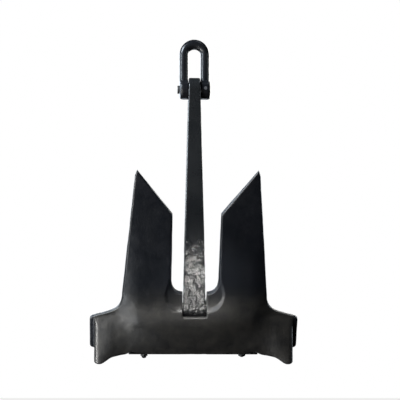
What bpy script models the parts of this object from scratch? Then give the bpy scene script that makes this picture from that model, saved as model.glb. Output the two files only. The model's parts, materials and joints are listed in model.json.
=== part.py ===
"""High-holding-power stockless anchor, about 240 kg, modelled as its real pieces.

The anchor hangs from its shackle. The frame's origin is the bearing point inside the crown of
the shackle's bow, +Z runs up along the shank, X runs across the head and -Y is the front.
The head is tipped forward about the crown pin to the stop of its travel, which is how an
unbalanced anchor head hangs.

Everything in the head is designed in the head's own frame: origin on the crown pin's axis,
+Z towards the fluke tips, Y through the thickness.
"""
import math

import bmesh
import bpy
from mathutils import Matrix, Vector

# ---------------------------------------------------------------- driving dimensions, metres
BOW_TO_PIN = 0.1775           # bearing point of the bow down to the shackle pin's axis
PIN_TO_PIN = 0.940            # shackle pin's axis down to the crown pin's axis
HEAD_TILT = math.radians(35)  # travel of the head to either side of the shank

# Shank
SHANK_WIDTH_TOP = 0.0505      # across, at the shackle pin
SHANK_WIDTH_FOOT = 0.0970     # across, at the crown pin
SHANK_HALF_DEPTH = 0.0430     # fore and aft, at the foot, also the radius of the foot's eye
SHANK_HALF_DEPTH_NECK = 0.0380
SHANK_TOP_EYE_RADIUS = 0.0515
SHANK_CHAMFER = 0.0040

# Crown pin and what holds it
CROWN_PIN_RADIUS = 0.0250
CROWN_PIN_HALF_LENGTH = 0.1910
CROWN_PIN_CLEARANCE = 0.0009
TROUGH_HALF_LENGTH = 0.1920
KEEPER_INNER_X = 0.0560
KEEPER_OUTER_X = 0.1910
KEEPER_TOP_Z = -0.0120
KEEPER_PLATE_OUTER_X = 0.2750
KEEPER_PLATE_THICKNESS = 0.0220
STUD_X = 0.2095
STUD_RADIUS = 0.0100
STUD_TOP_Z = -0.1250
STUD_FOOT_LEFT_Z = -0.2450
STUD_FOOT_RIGHT_Z = -0.2390
NUT_RADIUS = 0.0173           # across corners, 30 mm across flats
NUT_HEIGHT = 0.0180

# Head casting
HEAD_BOTTOM_Z = -0.1915
PALM_END_X = 0.4200           # where the flared palms end
WEB_END_X = 0.4400            # the middle web stands out beyond them
WEB_HALF_THICKNESS = 0.0110
WEB_ROOT_X = 0.4005            # inside the palm's end wall
PALM_HALF_DEPTH = 0.1020      # at the level of the crown's bottom
PALM_LEAN = 0.0800            # how fast the palm's face falls back towards its end
PALM_DROP = 0.0185            # how far the palms' corners reach below the crown
SIDE_DROP = 0.0020
CROWN_HALF_DEPTH = 0.0620     # at the bottom, in the middle
CROWN_BELLY = 0.0700          # greatest half depth of the middle
CROWN_BELLY_Z = -0.0500
BARREL_SHARE = 0.4500          # share of the belly lost at 0.3 m from the middle
CREASE_Z = 0.0800             # where the flat of the fluke turns into the crown
FLUKE_ROOT_HALF = 0.0280
FLUKE_TIP_HALF = 0.0060
TIP_X = 0.2440
TIP_Z = 0.6496
TIP_OUTER_X = 0.2522
TIP_OUTER_Z = 0.6240
FLUKE_INNER_X = 0.0984
FLUKE_DRAFT = 0.0002
INNER_CORNER_Z = 0.4500
FLUKE_ROOT_X = 0.3036
FLUKE_ROOT_Z = 0.0720
CROTCH_FLAT_X = 0.0540
CROTCH_Z = 0.0770
CROTCH_TOP_Z = 0.1340
CROTCH_CHAMFER = 0.0600
FLUKE_CHAMFER = 0.0090
EDGE_RATIO = 0.55             # half thickness left at an edge, as a share of the fluke's
FOLD_X = 0.2970               # fold between crown and palm, at its top
FOLD_SHIFT = 0.0380           # how far the fold moves out towards the bottom
FOLD_HALF_WIDTH = 0.0650
PALM_FILLET = 0.0200          # round between a palm's face and its end
NOTCH_X = 0.2570              # shallow relief in the bottom edge beside each keeper
NOTCH_HALF_WIDTH = 0.0340
NOTCH_DEPTH = 0.0110
WING_TOP_Z = -0.0240
WING_TOP_HALF = 0.0080
SHOULDER_END = (0.4230, -0.0330)
SLOT_HALF_WIDTH = 0.0505
CHAMBER_HALF_DEPTH = 0.0472
LIP_Z = -0.0090
CASTING_WALL = 0.0220
POCKET_INNER_X = 0.2420
POCKET_OUTER_X = 0.3980
POCKET_ROOF_Z = -0.0200

# Shackle
BOW_AXIS_RADIUS = 0.0455
BOW_CENTRE_UP = 0.1540        # centre of the bow's half circle above the shackle pin
LEG_RADIUS = 0.0188
BOW_CROWN_RADIUS = 0.0220
EYE_RADIUS = 0.0420
EYE_INNER_X = 0.0265
EYE_OUTER_X = 0.0640
EYE_BOSS_X = 0.0690           # the right-hand eye is the thicker one
SHACKLE_PIN_RADIUS = 0.0175
SHACKLE_PIN_LEFT_X = -0.0730
SHACKLE_PIN_RIGHT_X = 0.0670
LOCK_PIN_X = 0.0470
LOCK_PIN_RADIUS = 0.0045
LEAD_PLUG_RADIUS = 0.0070
LEAD_PLUG_DEPTH = 0.0080

GAP = 0.0003                  # left between pieces that touch

# ---------------------------------------------------------------- scene set-up
for old in list(bpy.data.objects):
    bpy.data.objects.remove(old, do_unlink=True)

parts = bpy.data.collections.new("stockless_anchor")
cutters = bpy.data.collections.new("cutters")
bpy.context.scene.collection.children.link(parts)
bpy.context.scene.collection.children.link(cutters)


def make_material(name, colour, roughness, metallic):
    material = bpy.data.materials.new(name)
    material.use_nodes = True
    shader = material.node_tree.nodes["Principled BSDF"]
    shader.inputs["Base Color"].default_value = (*colour, 1.0)
    shader.inputs["Roughness"].default_value = roughness
    shader.inputs["Metallic"].default_value = metallic
    return material


HEAD_PAINT = make_material("head_black_paint", (0.030, 0.034, 0.040), 0.42, 0.0)
SHANK_PAINT = make_material("shank_black_paint", (0.035, 0.038, 0.042), 0.50, 0.0)
SHACKLE_PAINT = make_material("shackle_black_paint", (0.034, 0.037, 0.045), 0.36, 0.0)
PIN_STEEL = make_material("pin_painted_steel", (0.040, 0.042, 0.046), 0.45, 0.0)
KEEPER_STEEL = make_material("keeper_painted_steel", (0.036, 0.040, 0.046), 0.50, 0.0)
LEAD = make_material("lead", (0.200, 0.205, 0.215), 0.60, 1.0)


def add_object(name, mesh, material, collection, parent=None):
    obj = bpy.data.objects.new(name, mesh)
    collection.objects.link(obj)
    mesh.materials.clear()
    if material is not None:
        mesh.materials.append(material)
    if parent is not None:
        obj.parent = parent
    return obj


def mesh_from_bmesh(name, bm):
    bmesh.ops.recalc_face_normals(bm, faces=bm.faces)
    mesh = bpy.data.meshes.new(name)
    bm.to_mesh(mesh)
    bm.free()
    return mesh


def as_cutter(obj):
    obj.hide_render = True
    obj.display_type = "WIRE"
    return obj


def boolean(target, tool, operation):
    modifier = target.modifiers.new(operation.lower() + "_" + tool.name, "BOOLEAN")
    modifier.operation = operation
    modifier.object = tool
    modifier.solver = "EXACT"


def smooth(obj, angle):
    obj.data.shade_smooth()
    obj.data.set_sharp_from_angle(angle=angle)


def cylinder_mesh(name, radius, start, end, axis, segments, radius_end=None):
    """A solid cylinder or cone between two points along X, Y or Z."""
    bm = bmesh.new()
    second = radius if radius_end is None else radius_end
    bmesh.ops.create_cone(bm, cap_ends=True, segments=segments, radius1=radius, radius2=second,
                          depth=end - start)
    bmesh.ops.translate(bm, verts=bm.verts, vec=(0.0, 0.0, (start + end) / 2))
    if axis == "X":
        bmesh.ops.rotate(bm, verts=bm.verts, matrix=Matrix.Rotation(math.pi / 2, 3, "Y"))
    if axis == "Y":
        bmesh.ops.rotate(bm, verts=bm.verts, matrix=Matrix.Rotation(-math.pi / 2, 3, "X"))
    return mesh_from_bmesh(name, bm)


def box_mesh(name, low, high):
    bm = bmesh.new()
    bmesh.ops.create_cube(bm, size=1.0)
    size = [high[i] - low[i] for i in range(3)]
    centre = [(high[i] + low[i]) / 2 for i in range(3)]
    bmesh.ops.scale(bm, verts=bm.verts, vec=size)
    bmesh.ops.translate(bm, verts=bm.verts, vec=centre)
    return mesh_from_bmesh(name, bm)


def loft_mesh(name, sections):
    """Closed solid through sections that all have the same number of points."""
    bm = bmesh.new()
    rings = [[bm.verts.new(point) for point in section] for section in sections]
    count = len(rings[0])
    for first, second in zip(rings, rings[1:]):
        for i in range(count):
            j = (i + 1) % count
            bm.faces.new((first[i], first[j], second[j], second[i]))
    bm.faces.new(rings[0])
    bm.faces.new(list(reversed(rings[-1])))
    return mesh_from_bmesh(name, bm)


def plate_mesh(name, outline, half_thickness, axis):
    """A flat outline given thickness. axis Y takes (x, z) points, axis X takes (y, z) points."""
    curve = bpy.data.curves.new(name + "_outline", "CURVE")
    curve.dimensions = "2D"
    curve.fill_mode = "BOTH"
    curve.extrude = half_thickness
    spline = curve.splines.new("POLY")
    spline.points.add(len(outline) - 1)
    for point, (u, v) in zip(spline.points, outline):
        point.co = (u, v, 0.0, 1.0)
    spline.use_cyclic_u = True
    holder = bpy.data.objects.new(name + "_outline", curve)
    cutters.objects.link(holder)
    bpy.context.view_layer.update()
    graph = bpy.context.evaluated_depsgraph_get()
    mesh = bpy.data.meshes.new_from_object(holder.evaluated_get(graph))
    bpy.data.objects.remove(holder, do_unlink=True)
    bm = bmesh.new()
    bm.from_mesh(mesh)
    bmesh.ops.remove_doubles(bm, verts=bm.verts, dist=0.00005)
    if axis == "Y":
        bmesh.ops.rotate(bm, verts=bm.verts, matrix=Matrix.Rotation(math.pi / 2, 3, "X"))
    if axis == "X":
        turn = Matrix(((0, 0, 1), (1, 0, 0), (0, 1, 0)))
        bmesh.ops.transform(bm, verts=bm.verts, matrix=turn.to_4x4())
    bpy.data.meshes.remove(mesh)
    return mesh_from_bmesh(name, bm)


def arc(centre, radius, start_degrees, end_degrees, steps):
    """Points on a circle, from one angle to the other."""
    points = []
    for i in range(steps + 1):
        angle = math.radians(start_degrees + (end_degrees - start_degrees) * i / steps)
        points.append((centre[0] + radius * math.cos(angle), centre[1] + radius * math.sin(angle)))
    return points


# ---------------------------------------------------------------- shape of the head casting
def cubic(points, t):
    a, b, c, d = points
    s = 1.0 - t
    return tuple(s ** 3 * a[i] + 3 * s * s * t * b[i] + 3 * s * t * t * c[i] + t ** 3 * d[i]
                 for i in range(2))


SHOULDER = [cubic(((FLUKE_ROOT_X, FLUKE_ROOT_Z), (0.306, 0.000), (0.335, -0.010), SHOULDER_END),
                  i / 16) for i in range(17)]


def on_line(x, first, second):
    share = (x - first[0]) / (second[0] - first[0])
    return first[1] + share * (second[1] - first[1])


def outline_top(x):
    """Height of the head's front outline at a distance x from the middle."""
    x = abs(x)
    if x <= CROTCH_FLAT_X:
        return CROTCH_Z
    if x <= FLUKE_INNER_X:
        across = (x - CROTCH_FLAT_X) / (FLUKE_INNER_X - CROTCH_FLAT_X)
        return CROTCH_TOP_Z - (CROTCH_TOP_Z - CROTCH_Z) * math.sqrt(max(0.0, 1.0 - across ** 2))
    inner_top_x = FLUKE_INNER_X + FLUKE_DRAFT
    if x <= inner_top_x:
        return on_line(x, (FLUKE_INNER_X, CROTCH_TOP_Z), (inner_top_x, INNER_CORNER_Z))
    if x <= TIP_X:
        return on_line(x, (inner_top_x, INNER_CORNER_Z), (TIP_X, TIP_Z))
    if x <= TIP_OUTER_X:
        return on_line(x, (TIP_X, TIP_Z), (TIP_OUTER_X, TIP_OUTER_Z))
    if x <= FLUKE_ROOT_X:
        return on_line(x, (TIP_OUTER_X, TIP_OUTER_Z), (FLUKE_ROOT_X, FLUKE_ROOT_Z))
    for first, second in zip(SHOULDER, SHOULDER[1:]):
        if x <= second[0]:
            return on_line(x, first, second)
    return SHOULDER[-1][1]


def segment_distance(point, first, second):
    px, pz = point[0] - first[0], point[1] - first[1]
    dx, dz = second[0] - first[0], second[1] - first[1]
    share = max(0.0, min(1.0, (px * dx + pz * dz) / (dx * dx + dz * dz)))
    return math.hypot(px - share * dx, pz - share * dz)


INNER_EDGE = [(0.0, CROTCH_Z), (CROTCH_FLAT_X, CROTCH_Z)]
INNER_EDGE += [(x, outline_top(x)) for x in
               [CROTCH_FLAT_X + (FLUKE_INNER_X - CROTCH_FLAT_X) * math.sin(math.pi * i / 16)
                for i in range(1, 9)]]
INNER_EDGE += [(FLUKE_INNER_X + FLUKE_DRAFT, INNER_CORNER_Z)]
OUTER_EDGE = [(FLUKE_INNER_X + FLUKE_DRAFT, INNER_CORNER_Z), (TIP_X, TIP_Z),
              (TIP_OUTER_X, TIP_OUTER_Z), (FLUKE_ROOT_X, FLUKE_ROOT_Z)]


def edge_distance(point, edge):
    return min(segment_distance(point, a, b) for a, b in zip(edge, edge[1:]))


def fluke_half(z):
    share = (z - CREASE_Z) / (TIP_Z - CREASE_Z)
    return FLUKE_ROOT_HALF + (FLUKE_TIP_HALF - FLUKE_ROOT_HALF) * max(0.0, share)


def crown_half(z):
    """Half depth of the crown in the middle of the head."""
    if z >= CREASE_Z:
        return fluke_half(z)
    if z >= CROWN_BELLY_Z:
        share = (CREASE_Z - z) / (CREASE_Z - CROWN_BELLY_Z)
        swelling = 0.35 * math.sin(share * math.pi / 2)
        swelling += 0.65 * (0.5 - 0.5 * math.cos(share * math.pi))
        return FLUKE_ROOT_HALF + (CROWN_BELLY - FLUKE_ROOT_HALF) * swelling
    share = (CROWN_BELLY_Z - z) / (CROWN_BELLY_Z - HEAD_BOTTOM_Z)
    return CROWN_BELLY + (CROWN_HALF_DEPTH - CROWN_BELLY) * share ** 1.3


def smooth_step(value, start, end):
    """0 before the start, 1 after the end, and a smooth rise between them."""
    u = max(0.0, min(1.0, (value - start) / (end - start)))
    return u * u * (3.0 - 2.0 * u)


def barrel(x, z):
    """The crown is fullest in the middle of the head and thins towards the palms."""
    swell = smooth_step(z, 0.090, 0.010)
    swell *= smooth_step(z, HEAD_BOTTOM_Z, HEAD_BOTTOM_Z + 0.130)
    return 1.0 - BARREL_SHARE * swell * (min(x, 0.330) / 0.300) ** 2


def bottom_z(x):
    """Height of the bottom edge, a little lower at the palms' corners."""
    drop = SIDE_DROP * smooth_step(abs(x), 0.270, 0.300)
    return HEAD_BOTTOM_Z - drop - PALM_DROP * smooth_step(abs(x), 0.340, 0.396)


def palm_half(x, z):
    """Half depth of the flared palm."""
    share = max(0.0, min(1.2, (WING_TOP_Z - z) / (WING_TOP_Z - HEAD_BOTTOM_Z)))
    depth = WING_TOP_HALF + (PALM_HALF_DEPTH - WING_TOP_HALF) * share
    return depth - PALM_LEAN * max(0.0, x - 0.350)


def flare(x, z):
    """0 in the middle of the head, 1 at the palms, with a fold that slants outwards."""
    fold = FOLD_X + FOLD_SHIFT * max(0.0, min(1.15, (-0.040 - z) / 0.130))
    return smooth_step(x, fold - FOLD_HALF_WIDTH, fold + FOLD_HALF_WIDTH)


def half_depth(x, z):
    """Half depth of the head casting at any place of its front outline."""
    x = abs(x)
    share = flare(x, z)
    body = (1.0 - share) * crown_half(z) * barrel(x, z) + share * palm_half(x, z)
    edge = EDGE_RATIO * fluke_half(z)
    widen = max(0.0, min(1.0, (0.190 - z) / 0.080))
    inner_width = FLUKE_CHAMFER + (CROTCH_CHAMFER - FLUKE_CHAMFER) * widen
    keep = min(1.0, edge_distance((x, z), INNER_EDGE) / inner_width)
    keep = min(keep, edge_distance((x, z), OUTER_EDGE) / FLUKE_CHAMFER)
    if x > FLUKE_ROOT_X - 0.030:
        near = min(1.0, edge_distance((x, z), SHOULDER) / 0.020)
        keep = min(keep, math.sqrt(near * (2.0 - near)))
        edge = WEB_HALF_THICKNESS
    body = edge + (body - edge) * keep
    if x > PALM_END_X - PALM_FILLET:
        out = min(0.985, (x - (PALM_END_X - PALM_FILLET)) / PALM_FILLET)
        radius = min(PALM_FILLET, max(0.0, body - WEB_HALF_THICKNESS))
        body -= radius * (1.0 - math.sqrt(1.0 - out ** 2))
    if z < bottom_z(x) + 0.001:
        body -= 0.004
    return body


STATIONS = [0.0, 0.040, 0.054, 0.063, 0.074, 0.085, 0.0935, 0.0984, 0.0986, 0.108, 0.122, 0.140,
            0.165, 0.205, 0.226, 0.244, 0.2522, 0.262, 0.272, 0.288, 0.3036, 0.3065, 0.312, 0.321,
            0.333, 0.346, 0.358, 0.369, 0.380, 0.392, 0.400, 0.4085, 0.4150, 0.4185, 0.420]
LOWER_ROWS = [HEAD_BOTTOM_Z, HEAD_BOTTOM_Z + 0.005, -0.150, -0.110, -0.075, -0.045, -0.018, 0.006,
              0.025, 0.040, 0.056]
UPPER_SHARES = [0.16, 0.36, 0.60, 0.84, 1.0]


def section_rows(x):
    """Heights of the section's points at x, bottom to top."""
    top = outline_top(x)
    squeeze = (min(top, CROTCH_Z) + 0.110) / (CROTCH_Z + 0.110)
    stretch = (bottom_z(x) + 0.110) / (HEAD_BOTTOM_Z + 0.110)
    rows = [-0.110 + (z + 0.110) * (stretch if z < -0.110 else squeeze) for z in LOWER_ROWS]
    base = rows[-1]
    return rows + [base + (top - base) * share for share in UPPER_SHARES]


def notch(x, z):
    """How far the bottom edge is lifted beside a keeper."""
    across = (abs(x) - NOTCH_X) / NOTCH_HALF_WIDTH
    if abs(across) >= 1.0:
        return 0.0
    fade = max(0.0, min(1.0, (-0.130 - z) / 0.050))
    return NOTCH_DEPTH * fade * math.cos(across * math.pi / 2) ** 2


def head_section(x):
    front = [(x, -half_depth(x, z), z + notch(x, z)) for z in section_rows(x)]
    back = [(x, -y, z) for x, y, z in reversed(front)]
    return front + back


def rounded_web_outline(side):
    """Front outline of the web where it stands out of the palm's end."""
    corner = 0.016
    points = [(WEB_ROOT_X, -0.150), (WEB_ROOT_X, -0.050), (0.406, -0.0350)]
    points += arc((WEB_END_X - corner, -0.0355 - corner), corner, 90, 0, 5)
    points += arc((WEB_END_X - corner, -0.189 + corner), corner, 0, -90, 5)
    points += [(0.406, -0.189), (WEB_ROOT_X, -0.180)]
    return [(side * u, v) for u, v in points]


def pocket_section(x, front):
    """Section of a hollow under one palm, a wall's thickness inside the surface."""
    top = min(POCKET_ROOF_Z, outline_top(x) - CASTING_WALL * 1.3)
    inner = WEB_HALF_THICKNESS + 0.001
    while half_depth(x, top) - CASTING_WALL < inner + 0.006:
        top -= 0.001
    levels = [top + (bottom_z(x) - top) * i / 5 for i in range(6)]
    face = [(half_depth(x, z + (0.002 if i == 5 else 0.0)) - CASTING_WALL, z)
            for i, z in enumerate(levels)]
    face.append((face[-1][0], HEAD_BOTTOM_Z - 0.040))
    points = [(inner, HEAD_BOTTOM_Z - 0.040), (inner, top)] + face
    side = -1.0 if front else 1.0
    return [(x, side * y, z) for y, z in points]


# ---------------------------------------------------------------- joint axes
def make_axis(name, height, tilt, parent):
    empty = bpy.data.objects.new(name, None)
    empty.empty_display_size = 0.08
    empty.location = (0.0, 0.0, height)
    empty.rotation_euler = (tilt, 0.0, 0.0)
    empty.parent = parent
    parts.objects.link(empty)
    return empty


shackle_axis = make_axis("shackle_pin_axis", -BOW_TO_PIN, 0.0, None)
head_axis = make_axis("crown_pin_axis", -PIN_TO_PIN, HEAD_TILT, shackle_axis)


# ---------------------------------------------------------------- head
def build_head():
    xs = sorted({-x for x in STATIONS} | set(STATIONS))
    head = add_object("anchor_head", loft_mesh("anchor_head", [head_section(x) for x in xs]),
                      HEAD_PAINT, parts, head_axis)
    for side, word in ((-1, "left"), (1, "right")):
        web = add_object("web_" + word,
                         plate_mesh("web_" + word, rounded_web_outline(side),
                                    WEB_HALF_THICKNESS - 0.0005, "Y"),
                         None, cutters, head_axis)
        boolean(head, as_cutter(web), "UNION")

    slot = add_object("slot", box_mesh("slot", (-SLOT_HALF_WIDTH, -0.2, LIP_Z),
                                       (SLOT_HALF_WIDTH, 0.2, 0.3)), None, cutters, head_axis)
    chamber = add_object("chamber", box_mesh("chamber", (-SLOT_HALF_WIDTH, -CHAMBER_HALF_DEPTH,
                                                         HEAD_BOTTOM_Z - 0.02),
                                             (SLOT_HALF_WIDTH, CHAMBER_HALF_DEPTH, 0.05)),
                         None, cutters, head_axis)
    bore = CROWN_PIN_RADIUS + CROWN_PIN_CLEARANCE
    outline = arc((0.0, 0.0), bore, 180, 0, 16)
    outline += [(bore, HEAD_BOTTOM_Z - 0.02), (-bore, HEAD_BOTTOM_Z - 0.02)]
    trough = add_object("pin_trough", plate_mesh("pin_trough", outline, TROUGH_HALF_LENGTH, "X"),
                        None, cutters, head_axis)
    for tool in (slot, chamber, trough):
        boolean(head, as_cutter(tool), "DIFFERENCE")

    for side, word in ((-1, "left"), (1, "right")):
        hole = add_object("stud_hole_" + word,
                          cylinder_mesh("stud_hole_" + word, STUD_RADIUS + 0.0005,
                                        HEAD_BOTTOM_Z - 0.02, STUD_TOP_Z + 0.001, "Z", 16),
                          None, cutters, head_axis)
        hole.location = (side * STUD_X, 0.0, 0.0)
        boolean(head, as_cutter(hole), "DIFFERENCE")
        for front, place in ((True, "front"), (False, "back")):
            name = "pocket_" + word + "_" + place
            xs = [POCKET_INNER_X, 0.270, 0.296, 0.318, 0.338, 0.356, 0.372, 0.386, POCKET_OUTER_X]
            sections = [pocket_section(x * side, front) for x in xs]
            pocket = add_object(name, loft_mesh(name, sections), None, cutters, head_axis)
            boolean(head, as_cutter(pocket), "DIFFERENCE")
    smooth(head, math.radians(32))
    return head


build_head()


# ---------------------------------------------------------------- crown pin, keepers, studs
def build_crown_fastening():
    pin = add_object("crown_pin",
                     cylinder_mesh("crown_pin", CROWN_PIN_RADIUS, -CROWN_PIN_HALF_LENGTH,
                                   CROWN_PIN_HALF_LENGTH, "X", 32),
                     PIN_STEEL, parts, head_axis)
    rim = pin.modifiers.new("rim", "BEVEL")
    rim.width = 0.002
    rim.segments = 1
    rim.angle_limit = math.radians(60)
    rim.limit_method = "ANGLE"
    smooth(pin, math.radians(32))

    bore = CROWN_PIN_RADIUS + CROWN_PIN_CLEARANCE
    half = bore - GAP
    seat = arc((0.0, 0.0), bore, 180 + 28, 360 - 28, 14)
    for side, word in ((-1, "left"), (1, "right")):
        outline = [(-half, HEAD_BOTTOM_Z - GAP), (-half, KEEPER_TOP_Z)]
        outline += seat
        outline += [(half, KEEPER_TOP_Z), (half, HEAD_BOTTOM_Z - GAP)]
        length = (KEEPER_OUTER_X - KEEPER_INNER_X) / 2
        mesh = plate_mesh("keeper_" + word, outline, length, "X")
        keeper = add_object("keeper_" + word, mesh, KEEPER_STEEL, parts, head_axis)
        middle = side * (KEEPER_INNER_X + length)
        mesh.transform(Matrix.Translation((middle, 0.0, 0.0)))

        low = (KEEPER_INNER_X, -half, HEAD_BOTTOM_Z - KEEPER_PLATE_THICKNESS)
        high = (KEEPER_PLATE_OUTER_X, half, HEAD_BOTTOM_Z - GAP)
        if side < 0:
            low, high = (-high[0], low[1], low[2]), (-low[0], high[1], high[2])
        foot = add_object("keeper_foot_" + word, box_mesh("keeper_foot_" + word, low, high),
                          None, cutters, head_axis)
        boolean(keeper, as_cutter(foot), "UNION")
        hole = add_object("keeper_hole_" + word,
                          cylinder_mesh("keeper_hole_" + word, STUD_RADIUS + 0.0005,
                                        HEAD_BOTTOM_Z - 0.05, HEAD_BOTTOM_Z + 0.02, "Z", 16),
                          None, cutters, head_axis)
        hole.location = (side * STUD_X, 0.0, 0.0)
        boolean(keeper, as_cutter(hole), "DIFFERENCE")

        stud_foot = STUD_FOOT_LEFT_Z if side < 0 else STUD_FOOT_RIGHT_Z
        stud = add_object("keeper_stud_" + word,
                          cylinder_mesh("keeper_stud_" + word, STUD_RADIUS, stud_foot,
                                        STUD_TOP_Z, "Z", 16),
                          PIN_STEEL, parts, head_axis)
        stud.location = (side * STUD_X, 0.0, 0.0)
        tip = stud.modifiers.new("tip", "BEVEL")
        tip.width = 0.002
        tip.segments = 1
        tip.limit_method = "ANGLE"
        tip.angle_limit = math.radians(60)
        smooth(stud, math.radians(32))

        top = HEAD_BOTTOM_Z - KEEPER_PLATE_THICKNESS - GAP
        nut = add_object("keeper_nut_" + word,
                         cylinder_mesh("keeper_nut_" + word, NUT_RADIUS, top - NUT_HEIGHT, top,
                                       "Z", 6), PIN_STEEL, parts, head_axis)
        nut.location = (side * STUD_X, 0.0, 0.0)
        thread = add_object("nut_hole_" + word,
                            cylinder_mesh("nut_hole_" + word, STUD_RADIUS + 0.0005,
                                          top - NUT_HEIGHT - 0.01, top + 0.01, "Z", 16),
                            None, cutters, head_axis)
        thread.location = nut.location
        boolean(nut, as_cutter(thread), "DIFFERENCE")


build_crown_fastening()


# ---------------------------------------------------------------- shank
def shank_half_width(z):
    """Half width at a height above the crown pin."""
    return (SHANK_WIDTH_FOOT + (SHANK_WIDTH_TOP - SHANK_WIDTH_FOOT) * z / PIN_TO_PIN) / 2


def shank_side_outline():
    """Side view of the shank: an eye at each end, joined by long flat faces."""
    top_start = math.degrees(math.acos(SHANK_HALF_DEPTH_NECK / SHANK_TOP_EYE_RADIUS))
    foot = arc((0.0, 0.0), SHANK_HALF_DEPTH, 180, 360, 20)
    right = [(SHANK_HALF_DEPTH, 0.060), (SHANK_HALF_DEPTH_NECK + 0.001, 0.760),
             (SHANK_HALF_DEPTH_NECK + 0.0005, PIN_TO_PIN - 0.075)]
    flare_up = [(SHANK_HALF_DEPTH_NECK + 0.003, PIN_TO_PIN - 0.052)]
    eye = arc((0.0, PIN_TO_PIN), SHANK_TOP_EYE_RADIUS, -top_start + 4, 180 + top_start - 4, 22)
    left = [(-y, z) for y, z in reversed(right + flare_up)]
    return foot + right + flare_up + eye + left


def build_shank():
    mesh = plate_mesh("shank", shank_side_outline(), 0.5, "X")
    shank = add_object("shank", mesh, SHANK_PAINT, parts, shackle_axis)
    for vertex in mesh.vertices:
        side = 1.0 if vertex.co.x > 0 else -1.0
        vertex.co.x = side * shank_half_width(vertex.co.z)
    mesh.transform(Matrix.Translation((0.0, 0.0, -PIN_TO_PIN)))
    arris = shank.modifiers.new("arris", "BEVEL")
    arris.width = SHANK_CHAMFER
    arris.segments = 2
    arris.limit_method = "ANGLE"
    arris.angle_limit = math.radians(50)
    foot_hole = add_object("shank_foot_hole",
                           cylinder_mesh("shank_foot_hole", CROWN_PIN_RADIUS + 0.001, -0.1, 0.1,
                                         "X", 32), None, cutters, shackle_axis)
    foot_hole.location = (0.0, 0.0, -PIN_TO_PIN)
    top_hole = add_object("shank_top_hole",
                          cylinder_mesh("shank_top_hole", SHACKLE_PIN_RADIUS + 0.001, -0.1, 0.1,
                                        "X", 32), None, cutters, shackle_axis)
    for tool in (foot_hole, top_hole):
        boolean(shank, as_cutter(tool), "DIFFERENCE")
    smooth(shank, math.radians(32))


build_shank()


# ---------------------------------------------------------------- shackle
def bow_points():
    """Centre line of the bow: up one leg, over the top, down the other, with the bar's radius."""
    points = [(-BOW_AXIS_RADIUS, z, LEG_RADIUS) for z in (0.020, 0.060, 0.105)]
    for i in range(17):
        angle = math.pi - math.pi * i / 16
        swell = math.sin(angle)
        radius = LEG_RADIUS + (BOW_CROWN_RADIUS - LEG_RADIUS) * swell ** 2
        points.append((BOW_AXIS_RADIUS * math.cos(angle),
                       BOW_CENTRE_UP + BOW_AXIS_RADIUS * math.sin(angle), radius))
    points += [(BOW_AXIS_RADIUS, z, LEG_RADIUS) for z in (0.105, 0.060, 0.020)]
    return points


def bow_mesh():
    curve = bpy.data.curves.new("bow_line", "CURVE")
    curve.dimensions = "3D"
    curve.bevel_depth = 1.0
    curve.bevel_resolution = 4
    curve.use_fill_caps = True
    spline = curve.splines.new("POLY")
    line = bow_points()
    spline.points.add(len(line) - 1)
    for point, (x, z, radius) in zip(spline.points, line):
        point.co = (x, 0.0, z, 1.0)
        point.radius = radius
    holder = bpy.data.objects.new("bow_line", curve)
    cutters.objects.link(holder)
    bpy.context.view_layer.update()
    graph = bpy.context.evaluated_depsgraph_get()
    mesh = bpy.data.meshes.new_from_object(holder.evaluated_get(graph))
    bpy.data.objects.remove(holder, do_unlink=True)
    bm = bmesh.new()
    bm.from_mesh(mesh)
    bmesh.ops.remove_doubles(bm, verts=bm.verts, dist=0.00005)
    bpy.data.meshes.remove(mesh)
    return mesh_from_bmesh("shackle_bow", bm)


def eye_mesh(name, side, outer_x):
    """A forged eye: a thick disc whose outer rim is rounded off."""
    thickness = outer_x - EYE_INNER_X
    profile = [(0.0, thickness), (0.030, thickness), (0.037, thickness - 0.002),
               (0.0405, thickness - 0.006), (EYE_RADIUS, thickness - 0.013),
               (EYE_RADIUS, 0.002), (EYE_RADIUS - 0.002, 0.0), (0.0, 0.0)]
    bm = bmesh.new()
    verts = [bm.verts.new((r, 0.0, h)) for r, h in profile]
    edges = [bm.edges.new((a, b)) for a, b in zip(verts, verts[1:])]
    bmesh.ops.spin(bm, geom=verts + edges, cent=(0, 0, 0), axis=(0, 0, 1),
                   angle=2 * math.pi, steps=28)
    bmesh.ops.remove_doubles(bm, verts=bm.verts, dist=0.00005)
    bmesh.ops.rotate(bm, verts=bm.verts, matrix=Matrix.Rotation(side * math.pi / 2, 3, "Y"))
    bmesh.ops.translate(bm, verts=bm.verts, vec=(side * EYE_INNER_X, 0.0, 0.0))
    return mesh_from_bmesh(name, bm)


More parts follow.
